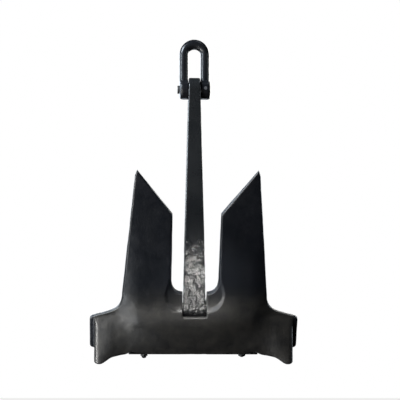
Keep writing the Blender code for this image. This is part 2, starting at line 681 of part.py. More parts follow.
def build_shackle():
    bow = add_object("shackle_bow", bow_mesh(), SHACKLE_PAINT, parts, shackle_axis)
    for side, word, outer in ((-1, "left", EYE_OUTER_X), (1, "right", EYE_BOSS_X)):
        eye = add_object("eye_" + word, eye_mesh("eye_" + word, side, outer), None, cutters,
                         shackle_axis)
        boolean(bow, as_cutter(eye), "UNION")
    hole = add_object("shackle_hole",
                      cylinder_mesh("shackle_hole", SHACKLE_PIN_RADIUS + 0.0006, -0.1, 0.1, "X",
                                    32), None, cutters, shackle_axis)
    lock_hole = add_object("lock_hole",
                           cylinder_mesh("lock_hole", LOCK_PIN_RADIUS + 0.0005, -0.1, 0.1, "Y",
                                         16), None, cutters, shackle_axis)
    lock_hole.location = (LOCK_PIN_X, 0.0, 0.0)
    for tool in (hole, lock_hole):
        boolean(bow, as_cutter(tool), "DIFFERENCE")

    pin = add_object("shackle_pin",
                     cylinder_mesh("shackle_pin", SHACKLE_PIN_RADIUS, SHACKLE_PIN_LEFT_X,
                                   SHACKLE_PIN_RIGHT_X, "X", 32), PIN_STEEL, parts, shackle_axis)
    rim = pin.modifiers.new("rim", "BEVEL")
    rim.width = 0.002
    rim.segments = 1
    rim.limit_method = "ANGLE"
    rim.angle_limit = math.radians(60)
    boolean(pin, lock_hole, "DIFFERENCE")
    smooth(pin, math.radians(32))

    reach = EYE_RADIUS - LEAD_PLUG_DEPTH - 0.0015
    add_object("lock_pin", cylinder_mesh("lock_pin", LOCK_PIN_RADIUS, -reach, reach, "Y", 16),
               PIN_STEEL, parts, shackle_axis).location = (LOCK_PIN_X, 0.0, 0.0)
    for sign, word in ((-1, "front"), (1, "back")):
        recess = add_object("plug_recess_" + word,
                            cylinder_mesh("plug_recess_" + word, LEAD_PLUG_RADIUS + GAP, -0.01,
                                          0.01, "Y", 16), None, cutters, shackle_axis)
        recess.location = (LOCK_PIN_X, sign * (EYE_RADIUS - LEAD_PLUG_DEPTH + 0.01 - GAP), 0.0)
        boolean(bow, as_cutter(recess), "DIFFERENCE")
        plug = add_object("lead_plug_" + word,
                          cylinder_mesh("lead_plug_" + word, LEAD_PLUG_RADIUS,
                                        -LEAD_PLUG_DEPTH / 2, LEAD_PLUG_DEPTH / 2, "Y", 16),
                          LEAD, parts, shackle_axis)
        plug.location = (LOCK_PIN_X, sign * (EYE_RADIUS - LEAD_PLUG_DEPTH / 2), 0.0)
    smooth(bow, math.radians(32))


build_shackle()
bpy.context.view_layer.update()
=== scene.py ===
"""Looks of a high-holding-power stockless anchor that hangs from its shackle.

The head, the shank and the shackle's bow are replaced with finer skins of the same shapes.
The smaller pieces keep their CAD meshes and get better materials. The head is shaped in its
own frame: origin on the crown pin's axis, +Z towards the fluke tips, Y through the thickness.
"""
import json
import math

import bmesh
import bpy
import numpy as np
from mathutils import Matrix, Vector, noise


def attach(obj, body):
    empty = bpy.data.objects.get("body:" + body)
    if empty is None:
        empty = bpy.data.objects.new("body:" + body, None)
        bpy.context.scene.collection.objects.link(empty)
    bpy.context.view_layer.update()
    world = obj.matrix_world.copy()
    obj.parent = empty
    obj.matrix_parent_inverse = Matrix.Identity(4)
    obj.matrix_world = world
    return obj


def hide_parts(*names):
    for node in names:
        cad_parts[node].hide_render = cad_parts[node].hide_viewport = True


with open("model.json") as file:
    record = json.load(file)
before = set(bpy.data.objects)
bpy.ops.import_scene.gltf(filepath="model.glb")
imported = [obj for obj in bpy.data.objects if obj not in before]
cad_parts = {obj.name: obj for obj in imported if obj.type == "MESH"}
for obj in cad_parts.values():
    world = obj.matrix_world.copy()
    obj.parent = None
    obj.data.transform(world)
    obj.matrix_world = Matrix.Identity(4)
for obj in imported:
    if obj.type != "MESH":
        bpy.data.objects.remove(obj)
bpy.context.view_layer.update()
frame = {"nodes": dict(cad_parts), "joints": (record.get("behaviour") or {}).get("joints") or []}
scene = bpy.context.scene

# ------------------------------------------------------------------ places taken from the frame
joints = {joint["name"]: joint for joint in frame["joints"]}
SHACKLE_PIN_Z = joints["shackle_pivot"]["pos_m"][2]
CROWN_PIN_Z = joints["crown_pivot"]["pos_m"][2]
PIN_TO_PIN = SHACKLE_PIN_Z - CROWN_PIN_Z
HEAD_TILT = math.radians(35)
HEAD_FRAME = Matrix.Translation((0, 0, CROWN_PIN_Z)) @ Matrix.Rotation(HEAD_TILT, 4, "X")
SHACKLE_FRAME = Matrix.Translation((0, 0, SHACKLE_PIN_Z))

# ------------------------------------------------------------------ camera
CAMERA_PLACE = Vector((-0.2424, -5.8819, SHACKLE_PIN_Z - 1.2866))
CAMERA_AIM = Vector((0.0220, -0.0557, SHACKLE_PIN_Z - 0.4859))
CAMERA_LENS, SENSOR_WIDTH = 125.55, 36.0
camera_data = bpy.data.cameras.new("camera")
camera_data.sensor_width = SENSOR_WIDTH
camera_data.lens = CAMERA_LENS
camera_data.clip_start = 0.1
camera_data.clip_end = 200.0
camera = bpy.data.objects.new("camera", camera_data)
camera.location = CAMERA_PLACE
camera.rotation_mode = "QUATERNION"
camera.rotation_quaternion = (CAMERA_AIM - CAMERA_PLACE).to_track_quat("-Z", "Y")
scene.collection.objects.link(camera)
scene.camera = camera
scene.view_settings.view_transform = "Standard"
scene.view_settings.look = "None"


# ------------------------------------------------------------------ node helpers
def new_material(name):
    material = bpy.data.materials.new(name)
    material.use_nodes = True
    return material, material.node_tree.nodes, material.node_tree.links


def noise_texture(nodes, links, vector, scale, detail, roughness):
    node = nodes.new("ShaderNodeTexNoise")
    node.inputs["Scale"].default_value = scale
    node.inputs["Detail"].default_value = detail
    node.inputs["Roughness"].default_value = roughness
    links.new(vector, node.inputs["Vector"])
    return node


def ramp(nodes, links, value, stops):
    """A colour ramp driven by a socket, from (position, grey or colour) stops."""
    node = nodes.new("ShaderNodeValToRGB")
    while len(node.color_ramp.elements) < len(stops):
        node.color_ramp.elements.new(0.5)
    for element, (place, shade) in zip(node.color_ramp.elements, stops):
        colour = shade if isinstance(shade, tuple) else (shade, shade, shade)
        element.position = place
        element.color = (*colour, 1.0)
    links.new(value, node.inputs["Fac"])
    return node.outputs["Color"]


def smooth_mask(nodes, links, value, none, full):
    """0 where the value is at none, 1 where it is at full, with a smooth change between."""
    fade = nodes.new("ShaderNodeMapRange")
    fade.interpolation_type = "SMOOTHSTEP"
    fade.inputs["From Min"].default_value = none
    fade.inputs["From Max"].default_value = full
    links.new(value, fade.inputs["Value"])
    return fade.outputs["Result"]


def coordinate(nodes, links, place, axis):
    parts = nodes.new("ShaderNodeSeparateXYZ")
    links.new(place.outputs["Object"], parts.inputs["Vector"])
    return parts.outputs[axis]


def calculate(nodes, links, operation, *values):
    node = nodes.new("ShaderNodeMath")
    node.operation = operation
    for value, socket in zip(values, node.inputs):
        links.new(value, socket)
    return node.outputs[0]


def mix_colour(nodes, links, share, under, over):
    """One colour laid over another; over is a socket or a plain colour."""
    node = nodes.new("ShaderNodeMix")
    node.data_type = "RGBA"
    links.new(share, node.inputs["Factor"])
    links.new(under, node.inputs["A"])
    if isinstance(over, tuple):
        node.inputs["B"].default_value = (*over, 1.0)
    else:
        links.new(over, node.inputs["B"])
    return node.outputs["Result"]


def bump(nodes, links, height, distance, normal=None):
    node = nodes.new("ShaderNodeBump")
    node.inputs["Strength"].default_value = 1.0
    node.inputs["Distance"].default_value = distance
    links.new(height, node.inputs["Height"])
    if normal:
        links.new(normal, node.inputs["Normal"])
    return node.outputs["Normal"]


# ------------------------------------------------------------------ materials
# Grey of bare steel at chipped edges, also a painted highlight that lightens the edges.
STEEL_AND_EDGE_HIGHLIGHT = (0.105, 0.100, 0.092)


def dust_and_painted_light(nodes, links, place, clean, dust_and_light_film):
    """Dried mud on the paint below a height, partly real dust and partly painted light that
    brightens the lower head; it lies on the palms but not on the web's ends, which are left
    darker as painted shade.
    """
    spots = noise_texture(nodes, links, place.outputs["Object"], 16.0, 6.0, 0.65)
    tint = ramp(nodes, links, spots.outputs["Fac"], ((0.30, dust_and_light_film["dark"]), (0.70, dust_and_light_film["light"])))
    low = smooth_mask(nodes, links, coordinate(nodes, links, place, "Z"), dust_and_light_film["none_z"],
                      dust_and_light_film["full_z"])
    # The lightening stops short of the web's ends, so they keep the darker paint as painted
    # shade.
    outward = calculate(nodes, links, "ABSOLUTE", coordinate(nodes, links, place, "X"))
    clear_of_painted_web_shade = smooth_mask(nodes, links, outward, dust_and_light_film["none_x"], dust_and_light_film["full_x"])
    return mix_colour(nodes, links, calculate(nodes, links, "MULTIPLY", low, clear_of_painted_web_shade), clean,
                      tint)


def worn_and_highlighted_edges(nodes, links, place, clean, wear_and_edge_highlight):
    """Steel showing through the paint in spots along the edges, which also lightens the edges as
    a painted highlight.
    """
    geometry = nodes.new("ShaderNodeNewGeometry")
    edges = ramp(nodes, links, geometry.outputs["Pointiness"], ((0.515, 0.0), (0.60, 1.0)))
    chips = noise_texture(nodes, links, place.outputs["Object"], 60.0, 5.0, 0.7)
    chipped = ramp(nodes, links, chips.outputs["Fac"], ((0.48, 0.0), (0.66, wear_and_edge_highlight)))
    share = calculate(nodes, links, "MULTIPLY", edges, chipped)
    return mix_colour(nodes, links, share, clean, STEEL_AND_EDGE_HIGHLIGHT)


def lump_height(nodes, links, place, scale, foot):
    """Height of the broad lumps; with foot, they are long and fade out upwards."""
    lumps = noise_texture(nodes, links, place.outputs["Object"], scale, 3.0, 0.5)
    if not foot:
        return lumps.outputs["Fac"]
    stretch = nodes.new("ShaderNodeMapping")
    stretch.inputs["Scale"].default_value = (1.0, 1.0, 0.55)
    links.new(place.outputs["Object"], stretch.inputs["Vector"])
    links.new(stretch.outputs["Vector"], lumps.inputs["Vector"])
    lumps.inputs["Detail"].default_value = 4.0
    lumps.inputs["Distortion"].default_value = 0.7
    low = smooth_mask(nodes, links, coordinate(nodes, links, place, "Z"), foot["none_z"],
                      foot["full_z"])
    return calculate(nodes, links, "MULTIPLY", lumps.outputs["Fac"], low)


def painted_metal(name, dark, light, rough, grain, grain_depth, lump, lump_depth, wear_and_edge_highlight,
                  specular=0.5, foot=None, dust_and_light_film=None):
    """Black paint on cast or forged steel: blotched colour, uneven gloss, grain and lumps."""
    material, nodes, links = new_material(name)
    shader = nodes["Principled BSDF"]
    shader.inputs["Specular IOR Level"].default_value = specular
    place = nodes.new("ShaderNodeTexCoord")

    blotch = noise_texture(nodes, links, place.outputs["Object"], 7.0, 6.0, 0.62)
    colour = ramp(nodes, links, blotch.outputs["Fac"], ((0.30, dark), (0.72, light)))
    # Lighter film on the lower head: partly dust, partly painted light; the web's ends are kept
    # out of it as painted shade.
    if dust_and_light_film:
        colour = dust_and_painted_light(nodes, links, place, colour, dust_and_light_film)
    # Lighter chipped edges: partly wear, partly a painted highlight along the edges.
    colour = worn_and_highlighted_edges(nodes, links, place, colour, wear_and_edge_highlight)
    links.new(colour, shader.inputs["Base Color"])

    gloss = noise_texture(nodes, links, place.outputs["Object"], 18.0, 5.0, 0.6)
    roughness = ramp(nodes, links, gloss.outputs["Fac"], ((0.25, rough[0]), (0.75, rough[1])))
    links.new(roughness, shader.inputs["Roughness"])

    low = bump(nodes, links, lump_height(nodes, links, place, lump, foot), lump_depth)
    grains = noise_texture(nodes, links, place.outputs["Object"], grain, 4.0, 0.65)
    fine = bump(nodes, links, grains.outputs["Fac"], grain_depth, low)
    links.new(fine, shader.inputs["Normal"])
    return material


def peened_lead():
    material, nodes, links = new_material("peened_lead")
    shader = nodes["Principled BSDF"]
    shader.inputs["Metallic"].default_value = 1.0
    place = nodes.new("ShaderNodeTexCoord")
    spots = noise_texture(nodes, links, place.outputs["Object"], 500.0, 4.0, 0.6).outputs["Fac"]
    tint = ramp(nodes, links, spots, ((0.3, (0.10, 0.10, 0.11)), (0.7, (0.24, 0.24, 0.25))))
    links.new(tint, shader.inputs["Base Color"])
    links.new(ramp(nodes, links, spots, ((0.3, 0.45), (0.7, 0.68))), shader.inputs["Roughness"])
    links.new(bump(nodes, links, spots, 0.0004), shader.inputs["Normal"])
    return material


HEAD_PAINT = painted_metal(
    "cast_head_paint", dark=(0.0028, 0.0040, 0.0070), light=(0.0074, 0.0088, 0.0128),
    rough=(0.34, 0.50), grain=330.0, grain_depth=0.00035, lump=32.0, lump_depth=0.0014,
    wear_and_edge_highlight=0.30,
    # Film: lighter paint on the lower head, partly dust and partly painted light, kept off the
    # web's ends as painted shade.
    dust_and_light_film={"dark": (0.011, 0.0115, 0.0128), "light": (0.036, 0.0345, 0.0320),
          "none_z": -1.02, "full_z": -1.13, "none_x": 0.424, "full_x": 0.417})
SHANK_PAINT = painted_metal(
    "forged_shank_paint", dark=(0.0100, 0.0110, 0.0120), light=(0.0190, 0.0192, 0.0200),
    rough=(0.14, 0.24), grain=260.0, grain_depth=0.0003, lump=62.0, lump_depth=0.0060,
    wear_and_edge_highlight=0.20, foot={"none_z": -0.74, "full_z": -1.02})
SHACKLE_PAINT = painted_metal(
    "forged_shackle_paint", dark=(0.0055, 0.0065, 0.0090), light=(0.0120, 0.0120, 0.0130),
    rough=(0.18, 0.30), grain=420.0, grain_depth=0.0003, lump=60.0, lump_depth=0.0010,
    wear_and_edge_highlight=0.6, specular=0.28)
PIN_PAINT = painted_metal(
    "pin_paint", dark=(0.0110, 0.0115, 0.0130), light=(0.0230, 0.0235, 0.0240),
    rough=(0.30, 0.48), grain=420.0, grain_depth=0.0002, lump=70.0, lump_depth=0.0004,
    wear_and_edge_highlight=0.8)
KEEPER_PAINT = painted_metal(
    "keeper_paint", dark=(0.0090, 0.0100, 0.0120), light=(0.0190, 0.0200, 0.0210),
    rough=(0.36, 0.52), grain=300.0, grain_depth=0.0004, lump=50.0, lump_depth=0.0008,
    wear_and_edge_highlight=0.7)
LEAD = peened_lead()


# ------------------------------------------------------------------ mesh helpers
def link(obj):
    scene.collection.objects.link(obj)
    return obj


def object_from_bmesh(name, bm):
    bmesh.ops.recalc_face_normals(bm, faces=bm.faces)
    mesh = bpy.data.meshes.new(name)
    bm.to_mesh(mesh)
    bm.free()
    return link(bpy.data.objects.new(name, mesh))


def loft(name, sections):
    """Closed solid through sections with equal numbers of points."""
    count = len(sections[0])
    rings = len(sections)
    points = [tuple(p) for section in sections for p in section]
    faces = []
    for i in range(rings - 1):
        for j in range(count):
            k = (j + 1) % count
            faces.append((i * count + j, i * count + k, (i + 1) * count + k,
                          (i + 1) * count + j))
    faces.append(tuple(range(count)))
    faces.append(tuple(reversed(range((rings - 1) * count, rings * count))))
    mesh = bpy.data.meshes.new(name)
    mesh.from_pydata(points, [], faces)
    bm = bmesh.new()
    bm.from_mesh(mesh)
    bpy.data.meshes.remove(mesh)
    return object_from_bmesh(name, bm)


def prism(name, outline, low, high, axis):
    """An outline extruded from low to high along an axis."""
    bm = bmesh.new()
    place = {"X": lambda u, v, w: (w, u, v), "Y": lambda u, v, w: (u, w, v),
             "Z": lambda u, v, w: (u, v, w)}[axis]
    first = [bm.verts.new(place(u, v, low)) for u, v in outline]
    second = [bm.verts.new(place(u, v, high)) for u, v in outline]
    bm.faces.new(first)
    bm.faces.new(list(reversed(second)))
    for i in range(len(outline)):
        j = (i + 1) % len(outline)
        bm.faces.new((first[i], first[j], second[j], second[i]))
    return object_from_bmesh(name, bm)


def arc(centre, radius, start, end, steps):
    angles = [math.radians(start + (end - start) * i / steps) for i in range(steps + 1)]
    return [(centre[0] + radius * math.cos(a), centre[1] + radius * math.sin(a)) for a in angles]


def cylinder(name, radius, low, high, axis, sides=64, centre=(0.0, 0.0)):
    return prism(name, arc(centre, radius, 0, 360 - 360 / sides, sides - 1), low, high, axis)


def apply_modifiers(obj):
    graph = bpy.context.evaluated_depsgraph_get()
    mesh = bpy.data.meshes.new_from_object(obj.evaluated_get(graph))
    obj.modifiers.clear()
    old = obj.data
    obj.data = mesh
    bpy.data.meshes.remove(old)
    return obj


def combine(target, tools, operation):
    """Boolean of the target with each tool, which is then removed."""
    for tool in tools:
        modifier = target.modifiers.new("cut", "BOOLEAN")
        modifier.operation = operation
        modifier.object = tool
        modifier.solver = "EXACT"
        apply_modifiers(target)
        bpy.data.objects.remove(tool, do_unlink=True)
    return target


def remesh(obj, size, smoothing):
    """Even skin of the given fineness, with every edge a little rounded as paint leaves it."""
    skin = obj.modifiers.new("skin", "REMESH")
    skin.mode = "VOXEL"
    skin.voxel_size = size
    skin.adaptivity = 0.0
    soften = obj.modifiers.new("soften", "SMOOTH")
    soften.factor = 0.5
    soften.iterations = smoothing
    return apply_modifiers(obj)


def thin_out(obj, ratio):
    thin = obj.modifiers.new("thin", "DECIMATE")
    thin.ratio = ratio
    return apply_modifiers(obj)


def roughen(obj, height):
    """Moves each point along its normal by height(point), in metres."""
    mesh = obj.data
    normals = [v.normal.copy() for v in mesh.vertices]
    for vertex, normal in zip(mesh.vertices, normals):
        vertex.co += normal * height(vertex.co)
    mesh.update()


def dress(obj, material, body, nodes_replaced):
    obj.data.materials.clear()
    obj.data.materials.append(material)
    obj.data.shade_smooth()
    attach(obj, body)
    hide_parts(*nodes_replaced)
    return obj


# ------------------------------------------------------------------ shape of the head
BOTTOM_Z = -0.1915
TIP_X, TIP_Z = 0.244, 0.6496
TIP_OUTER_X, TIP_OUTER_Z = 0.2522, 0.624
INNER_X, INNER_TOP_X, INNER_TOP_Z = 0.0984, 0.0986, 0.450
ROOT_X, ROOT_Z = 0.3036, 0.072
CROTCH_FLAT_X, CROTCH_Z, CROTCH_TOP_Z = 0.054, 0.077, 0.134
PALM_END_X, PALM_FILLET = 0.420, 0.020
WEB_ROOT_X, WEB_END_X, WEB_HALF = 0.4005, 0.440, 0.011
WEB_LOW_Z, WEB_HIGH_Z, WEB_CORNER = -0.189, -0.035, 0.016
WEB_PLATE_HALF = 0.0105
LIP_Z = -0.009
SIDE_DROP, PALM_DROP = 0.0020, 0.0185      # how far the bottom edge falls beside the crown
CREASE_Z = 0.080                           # where the flat of the fluke turns into the crown
FLUKE_ROOT_HALF, FLUKE_TIP_HALF = 0.028, 0.006
CROWN_BELLY, CROWN_BELLY_Z = 0.070, -0.050
CROWN_HALF_DEPTH = 0.062                   # at the bottom, in the middle
BARREL_SHARE = 0.45                        # share of the belly lost at BARREL_X
BARREL_X, BARREL_END_X = 0.300, 0.330
WING_TOP_Z, WING_TOP_HALF = -0.024, 0.008
PALM_HALF_DEPTH = 0.102
PALM_LEAN, PALM_LEAN_X = 0.080, 0.350      # the palm's face falls back beyond this X
FOLD_X, FOLD_SHIFT, FOLD_HALF_WIDTH = 0.297, 0.038, 0.065
FOLD_TOP_Z, FOLD_SPAN_Z = -0.040, 0.130
EDGE_RATIO = 0.55                          # half thickness left at an edge of a fluke
INNER_CHAMFER, OUTER_CHAMFER = 0.0035, 0.003
SCOOP_TOP_Z, SCOOP_FULL_Z = 0.190, 0.110   # the scoop beside the slot starts below these
SCOOP_RADIUS, SCOOP_Z = 0.070, 0.080
SCOOP_NARROWING, SCOOP_NARROW_Z = 0.018, 0.170
SCOOP_SLOPE, SCOOP_WALL_FROM = 0.62, 0.86  # share of the depth in the slope, start of the wall
SHOULDER_ROUND = 0.022
BOTTOM_ROUND, BOTTOM_ROUND_DEPTH = 0.007, 0.006
NOTCH_X, NOTCH_HALF_WIDTH, NOTCH_DEPTH = 0.257, 0.034, 0.011
STRETCH_Z = -0.110                         # rows below this follow the bottom edge
CASTING_WALL = 0.022
POCKET_ROOF_Z, POCKET_ROOF_DROP = -0.020, 0.0286
# Cuts from below start at these heights, which are lower than the casting above them
POCKET_FLOOR_Z = BOTTOM_Z - 0.040
CUT_Z = BOTTOM_Z - 0.020
SLOT_HALF, CHAMBER_HALF_DEPTH = 0.0505, 0.0472
TROUGH_RADIUS, TROUGH_HALF_LENGTH = 0.0259, 0.192
STUD_X, STUD_HOLE_RADIUS, STUD_HOLE_TOP_Z = 0.2095, 0.0105, -0.124
HEAD_VOXEL, HEAD_KEEP = 0.0030, 0.45


def cubic(points, t):
    a, b, c, d = (np.array(p) for p in points)
    s = 1.0 - t
    return s ** 3 * a + 3 * s * s * t * b + 3 * s * t * t * c + t ** 3 * d


SHOULDER_CURVE = ((ROOT_X, ROOT_Z), (0.306, 0.000), (0.335, -0.010), (0.423, -0.033))
SHOULDER = [tuple(cubic(SHOULDER_CURVE, i / 40)) for i in range(41)]
CROTCH = [(CROTCH_FLAT_X + (INNER_X - CROTCH_FLAT_X) * math.sin(math.pi / 2 * i / 16),
           CROTCH_TOP_Z - (CROTCH_TOP_Z - CROTCH_Z) * math.cos(math.pi / 2 * i / 16))
          for i in range(17)]
INNER_EDGE = [(0.0, CROTCH_Z)] + CROTCH + [(INNER_TOP_X, INNER_TOP_Z)]
TOP_LINE = INNER_EDGE + [(TIP_X, TIP_Z), (TIP_OUTER_X, TIP_OUTER_Z)] + SHOULDER
OUTER_EDGE = [(INNER_TOP_X, INNER_TOP_Z), (TIP_X, TIP_Z), (TIP_OUTER_X, TIP_OUTER_Z),
              (ROOT_X, ROOT_Z)]


def outline_top(x):
    xs, zs = zip(*TOP_LINE)
    return float(np.interp(abs(x), xs, zs))


def edge_distance(x, z, edge):
    best = np.full(x.shape, 9.0)
    for (ax, az), (bx, bz) in zip(edge, edge[1:]):
        dx, dz = bx - ax, bz - az
        length = dx * dx + dz * dz
        if length < 1e-12:
            continue
        share = np.clip(((x - ax) * dx + (z - az) * dz) / length, 0.0, 1.0)
        best = np.minimum(best, np.hypot(x - ax - share * dx, z - az - share * dz))
    return best


def soft_min(a, b, blend):
    """Smaller of two values, with the corner between them rounded."""
    h = np.clip(0.5 + 0.5 * (b - a) / blend, 0.0, 1.0)
    return b * (1 - h) + a * h - blend * h * (1 - h)


def smooth_step(value, start, end):
    u = np.clip((value - start) / (end - start), 0.0, 1.0)
    return u * u * (3 - 2 * u)


def bottom_z(x):
    """Height of the bottom edge, a little lower at the palms' corners."""
    x = np.abs(x)
    return (BOTTOM_Z - SIDE_DROP * smooth_step(x, 0.270, 0.300)
            - PALM_DROP * smooth_step(x, 0.340, 0.396))


def fluke_half(z):
    rise = np.clip((z - CREASE_Z) / (TIP_Z - CREASE_Z), 0.0, None)
    return FLUKE_ROOT_HALF - (FLUKE_ROOT_HALF - FLUKE_TIP_HALF) * rise


def crown_half(x, z):
    """Half depth of the crown, which is fullest in the middle like a barrel."""
    rise = np.clip((CREASE_Z - z) / (CREASE_Z - CROWN_BELLY_Z), 0.0, 1.0)
    swelling = 0.35 * np.sin(rise * math.pi / 2) + 0.65 * (0.5 - 0.5 * np.cos(rise * math.pi))
    crown = FLUKE_ROOT_HALF + (CROWN_BELLY - FLUKE_ROOT_HALF) * swelling
    crown = np.where(z >= CREASE_Z, fluke_half(z), crown)
    low = np.clip((CROWN_BELLY_Z - z) / (CROWN_BELLY_Z - BOTTOM_Z), 0.0, 1.0)
    crown = np.where(z < CROWN_BELLY_Z,
                     CROWN_BELLY - (CROWN_BELLY - CROWN_HALF_DEPTH) * low ** 1.3, crown)
    barrel = smooth_step(z, 0.090, 0.010) * smooth_step(z, BOTTOM_Z, BOTTOM_Z + 0.130)
    return crown * (1.0 - BARREL_SHARE * barrel * (np.minimum(x, BARREL_END_X) / BARREL_X) ** 2)


def palm_half(x, z):
    """Half depth of the palm, a flat face that leans back towards its end."""
    fall = np.clip((WING_TOP_Z - z) / (WING_TOP_Z - BOTTOM_Z), 0.0, 1.2)
    palm = WING_TOP_HALF + (PALM_HALF_DEPTH - WING_TOP_HALF) * fall
    return palm - PALM_LEAN * np.clip(x - PALM_LEAN_X, 0.0, None)


def edge_share(x, z):
    """0 on an edge, 1 where the casting has its full thickness; it rises slowly in the scoop."""
    widen = np.clip((SCOOP_TOP_Z - z) / (SCOOP_TOP_Z - SCOOP_FULL_Z), 0.0, 1.0)
    from_edge = edge_distance(x, z, INNER_EDGE)
    inner = np.clip(from_edge / INNER_CHAMFER, 0.0, 1.0)
    outer = edge_distance(x, z, OUTER_EDGE) / OUTER_CHAMFER
    reach = SCOOP_RADIUS - SCOOP_NARROWING * smooth_step(z, SCOOP_Z, SCOOP_NARROW_Z)
    to_centre = np.hypot(np.maximum(x - CROTCH_FLAT_X, 0.0), np.minimum(z - SCOOP_Z, 0.0))
    into_scoop = from_edge / (from_edge + np.maximum(reach - to_centre, 0.0) + 1e-6)
    wall = np.clip((into_scoop - SCOOP_WALL_FROM) / (1 - SCOOP_WALL_FROM), 0.0, 1.0)
    scoop = SCOOP_SLOPE * into_scoop + (1 - SCOOP_SLOPE) * wall
    share = (1 - widen) * inner + widen * scoop
    share = np.minimum(share, soft_min(outer, np.ones_like(x), 0.25))
    near = np.clip(edge_distance(x, z, SHOULDER) / SHOULDER_ROUND, 0.0, 1.0)
    rounded = np.sqrt(near * (2.0 - near))
    share = np.where(beyond_fluke(x), np.minimum(share, rounded), share)
    return np.clip(share, 0.0, 1.0)


def beyond_fluke(x):
    return x > ROOT_X - 0.035


def half_depth(x, z):
    """Half depth of the head casting over its front outline, in the head's own frame."""
    x = np.abs(x)
    fold = FOLD_X + FOLD_SHIFT * np.clip((FOLD_TOP_Z - z) / FOLD_SPAN_Z, 0.0, 1.15)
    palm_share = smooth_step(x, fold - FOLD_HALF_WIDTH, fold + FOLD_HALF_WIDTH)
    body = (1 - palm_share) * crown_half(x, z) + palm_share * palm_half(x, z)
    edge = np.where(beyond_fluke(x), WEB_HALF, EDGE_RATIO * fluke_half(z))
    body = edge + (body - edge) * edge_share(x, z)
    out = np.clip((x - (PALM_END_X - PALM_FILLET)) / PALM_FILLET, 0.0, 0.985)
    body = body - np.clip(body - WEB_HALF, 0.0, PALM_FILLET) * (1 - np.sqrt(1 - out ** 2))
    base = np.clip((bottom_z(x) + BOTTOM_ROUND - z) / BOTTOM_ROUND, 0.0, 1.0)
    return body - BOTTOM_ROUND_DEPTH * (1 - np.sqrt(1 - 0.98 * base ** 2))


def notch(x, z):
    """How far the bottom edge is lifted beside a keeper."""
    across = np.clip((abs(x) - NOTCH_X) / NOTCH_HALF_WIDTH, -1.0, 1.0)
    fade = np.clip((-0.130 - z) / 0.050, 0.0, 1.0)
    return NOTCH_DEPTH * fade * math.cos(across * math.pi / 2) ** 2


def section_places():
    """Places across the head, closest where the outline turns."""
    xs = list(np.linspace(0.0, INNER_X, 26)) + [INNER_TOP_X]
    xs += list(np.linspace(0.103, 0.246, 34)) + [TIP_X, TIP_OUTER_X]
    xs += list(np.linspace(0.253, ROOT_X, 22)) + [x for x, z in SHOULDER[1:-2] if x < 0.399]
    xs += [PALM_END_X - PALM_FILLET * (1 - math.sin(math.pi / 2 * i / 9)) for i in range(10)]
    xs = sorted(set(round(float(x), 5) for x in xs))
    return [-x for x in reversed(xs) if x > 0] + xs


def head_sections():
    low_rows = np.concatenate((BOTTOM_Z + BOTTOM_ROUND * np.array([0.0, 0.15, 0.4, 0.7, 1.0]),
                               np.linspace(-0.176, STRETCH_Z, 12),
                               np.linspace(-0.104, 0.056, 30)))
    high_shares = np.concatenate((np.linspace(0.04, 0.90, 34), np.linspace(0.92, 1.0, 8)))
    sections = []
    for x in section_places():
        top = outline_top(x)
        squeeze = (min(top, CROTCH_Z) - STRETCH_Z) / (CROTCH_Z - STRETCH_Z)
        stretch = (bottom_z(x) - STRETCH_Z) / (BOTTOM_Z - STRETCH_Z)
        scale = np.where(low_rows < STRETCH_Z, stretch, squeeze)
        rows = STRETCH_Z + (low_rows - STRETCH_Z) * scale
        rows = np.concatenate((rows, rows[-1] + (top - rows[-1]) * high_shares))
        depth = half_depth(np.full(rows.shape, x), rows)
        front = [(x, -float(y), float(z + notch(x, z))) for y, z in zip(depth, rows)]
        sections.append(front + [(x, -y, z) for x, y, z in reversed(front)])
    return sections


def web_outline(side):
    end = WEB_END_X - WEB_CORNER
    points = [(WEB_ROOT_X, -0.150), (WEB_ROOT_X, -0.050), (0.406, -0.0345)]
    points += arc((end, WEB_HIGH_Z - WEB_CORNER), WEB_CORNER, 90, 0, 8)
    points += arc((end, WEB_LOW_Z + WEB_CORNER), WEB_CORNER, 0, -90, 8)
    points += [(0.406, WEB_LOW_Z), (WEB_ROOT_X, -0.180)]
    return [(side * u, v) for u, v in points]


def pocket_sections(side, front):
    """The hollow under a palm, one wall's thickness inside its face."""
    sections = []
    for x in [0.242, 0.255, 0.270, 0.284, 0.296, 0.308, 0.318, 0.328, 0.338, 0.347, 0.356, 0.364,
              0.372, 0.379, 0.386, 0.392, 0.398]:
        def depth_at(z):
            return float(half_depth(np.array([x]), np.array([z]))[0])
        top = min(POCKET_ROOF_Z, outline_top(x) - POCKET_ROOF_DROP)
        while depth_at(top) - CASTING_WALL < WEB_HALF + 0.007:
            top -= 0.001
        levels = [top + (float(bottom_z(x)) + 0.008 - top) * i / 14 for i in range(15)]
        face = [(depth_at(z) - CASTING_WALL, z) for z in levels]
        face.append((face[-1][0], POCKET_FLOOR_Z))
        points = [(WEB_HALF + 0.001, POCKET_FLOOR_Z), (WEB_HALF + 0.001, top)] + face
        sections.append([(side * x, (-y if front else y), z) for y, z in points])
    return sections


def cast_waves(point):
    """Unevenness that sand casting leaves, in metres."""
    p = Vector(point)
    broad = noise.noise(p * 9.0) * 0.0011
    medium = noise.noise(p * 31.0 + Vector((4.0, 1.0, 7.0))) * 0.0005
    return broad + medium


